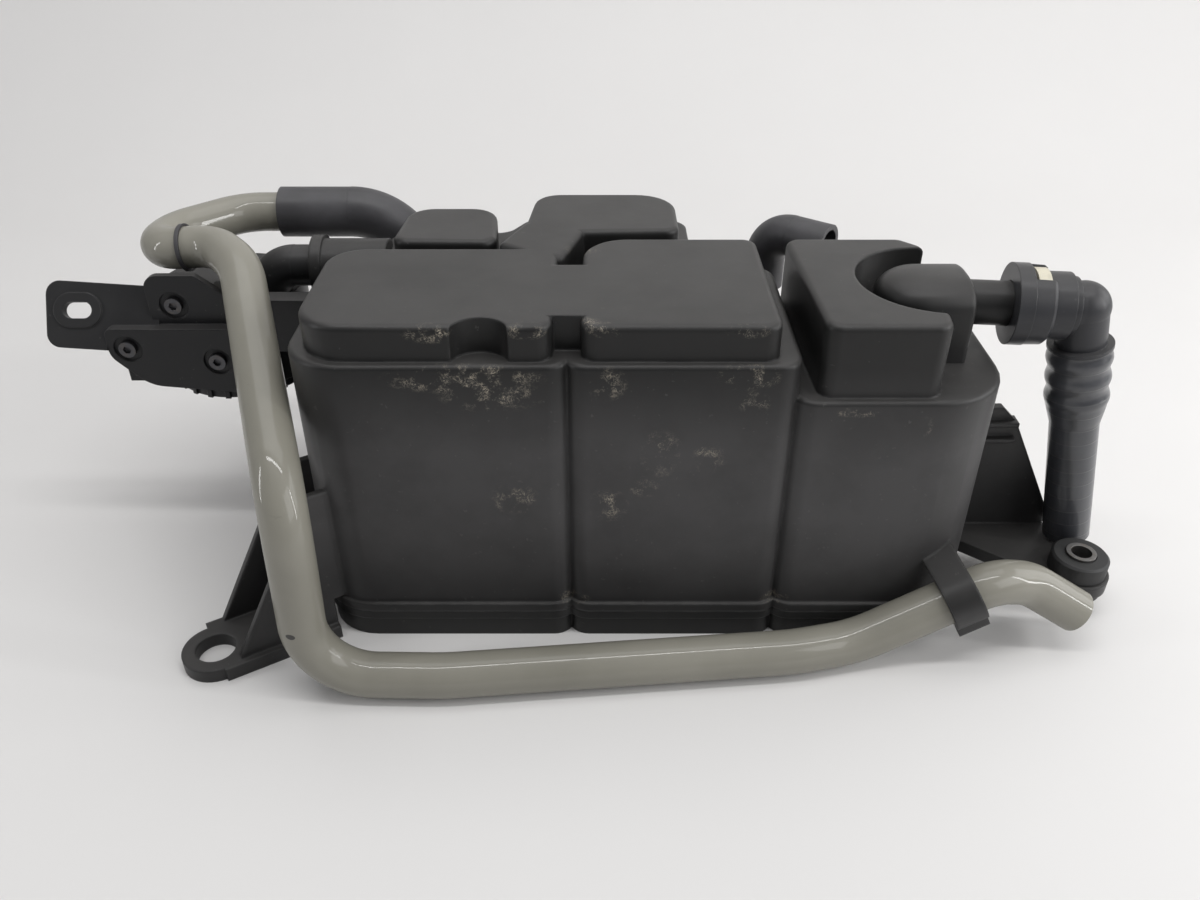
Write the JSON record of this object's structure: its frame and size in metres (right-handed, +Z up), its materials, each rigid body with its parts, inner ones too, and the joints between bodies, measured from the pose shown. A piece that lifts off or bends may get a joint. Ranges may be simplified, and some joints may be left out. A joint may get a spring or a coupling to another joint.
{
  "type": "charcoal canister",
  "caption": "Fuel vapour charcoal canister: welded plastic housing with raised blocks, breather module, formed vent tube, quick connector with line tube, and mounting feet.",
  "frame": {"origin": "centre of the bottom cover's plan, on its underside", "axes": "+X along the front row of chambers towards the quick connector, +Y from the front wall to the rear chamber, +Z up from the bottom cover"},
  "size_m": [0.455, 0.2012, 0.148],
  "materials": {
    "housing_plastic": "satin black moulded nylon, scuffed",
    "cover_plastic": "satin black moulded nylon",
    "module_plastic": "satin black moulded plastic",
    "connector_plastic": "smooth black moulded nylon",
    "tube_plastic": "glossy olive-grey nylon",
    "hose_rubber": "matt black rubber",
    "line_plastic": "black nylon with fine ring marks",
    "seal_rubber": "black rubber",
    "retainer_plastic": "cream nylon",
    "steel": "dull zinc-plated steel",
    "screw_steel": "black coated steel",
    "felt": "white felt",
    "carbon": "black activated carbon granules",
    "grid_plastic": "plain moulded plastic",
    "spring_steel": "bright spring wire"
  },
  "bodies": {
    "root": {"canister_housing": "housing_plastic", "bottom_cover": "cover_plastic", "vent_tube": "tube_plastic", "tube_band": "hose_rubber", "vent_elbow_hose": "hose_rubber", "rear_tube": "tube_plastic", "rear_elbow_hose": "hose_rubber", "quick_connector": "connector_plastic", "connector_retainer": "retainer_plastic", "connector_seals": "seal_rubber", "line_tube": "line_plastic", "bush_grommet": "seal_rubber", "bush_sleeve": "steel", "module_body": "module_plastic", "module_lid": "module_plastic", "module_filter": "felt", "module_gasket": "seal_rubber", "module_cover": "module_plastic", "module_screws": "screw_steel", "pipe_seal": "seal_rubber", "carbon_bed_left": "carbon", "carbon_bed_middle": "carbon", "carbon_bed_right": "carbon", "carbon_bed_rear": "carbon", "upper_screen_left": "felt", "upper_screen_middle": "felt", "upper_screen_right": "felt", "upper_screen_rear": "felt", "lower_screen_left": "felt", "lower_screen_middle": "felt", "lower_screen_right": "felt", "lower_screen_rear": "felt", "support_grid_left": "grid_plastic", "support_grid_middle": "grid_plastic", "support_grid_right": "grid_plastic", "support_grid_rear": "grid_plastic", "spring_left": "spring_steel", "spring_middle": "spring_steel", "spring_right": "spring_steel", "spring_rear": "spring_steel"}
  },
  "joints": []
}
